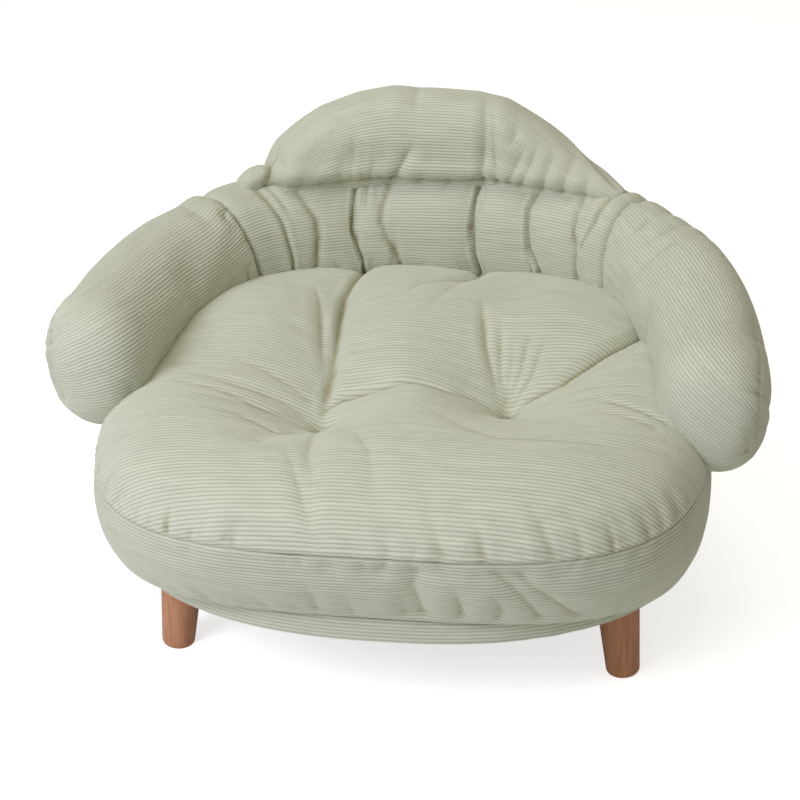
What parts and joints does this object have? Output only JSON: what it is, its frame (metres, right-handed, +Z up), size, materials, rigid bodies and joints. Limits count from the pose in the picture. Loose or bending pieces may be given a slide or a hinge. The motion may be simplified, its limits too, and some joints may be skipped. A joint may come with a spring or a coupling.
{
  "type": "pet sofa bed",
  "caption": "Pet sofa bed: a tufted boxed cushion with rolled arms, a channelled back and a half-moon crown, lifting off a round padded base on splayed wooden legs.",
  "frame": {"origin": "on the floor, at the middle of the whole object seen from above", "axes": "+X to the right as the front is faced, +Y towards the back roll, +Z up"},
  "size_m": [0.7154, 0.6361, 0.4698],
  "materials": {
    "corduroy": "matte wide-wale corduroy",
    "filling": "soft fibre and foam",
    "lining": "non-woven dust cloth",
    "thread": "waxed upholstery cord",
    "zip_tape": "woven zip tape",
    "leg_wood": "stained beech, satin lacquer",
    "board": "raw birch plywood",
    "steel": "zinc plated, satin"
  },
  "bodies": {
    "base": {"base_board": "board", "base_foam": "filling", "base_wrap": "corduroy", "dust_cloth": "lining", "plate_front_left": "steel", "plate_front_right": "steel", "plate_back_left": "steel", "plate_back_right": "steel", "plate_screws": "steel", "leg_front_left": "leg_wood", "leg_front_right": "leg_wood", "leg_back_left": "leg_wood", "leg_back_right": "leg_wood", "leg_bolts": "steel"},
    "bed": {"seat_top": "corduroy", "seat_gusset": "corduroy", "seat_bottom": "corduroy", "seat_foam": "filling", "tuft_ties": "thread", "arm_left": "corduroy", "arm_right": "corduroy", "arm_left_filling": "filling", "arm_right_filling": "filling", "back_roll": "corduroy", "back_filling": "filling", "crown": "corduroy", "crown_filling": "filling", "zip_tape": "zip_tape"},
    "slider": {"zip_slider": "steel"},
    "pull": {"zip_pull": "steel"}
  },
  "joints": [
    {"name": "bed_lift", "type": "slide", "parent": "base", "child": "bed", "axis": [0, 0, 1], "range_m": [0, 0.15]},
    {"name": "zip_slide", "type": "slide", "parent": "bed", "child": "slider", "axis": [1, 0, 0], "range_m": [0, 0.125]},
    {"name": "pull_swing", "type": "hinge", "parent": "slider", "child": "pull", "pos_m": [-0.0625, 0.25479, 0.17714], "axis": [1, 0, 0], "range_deg": [-15, 120]}
  ]
}
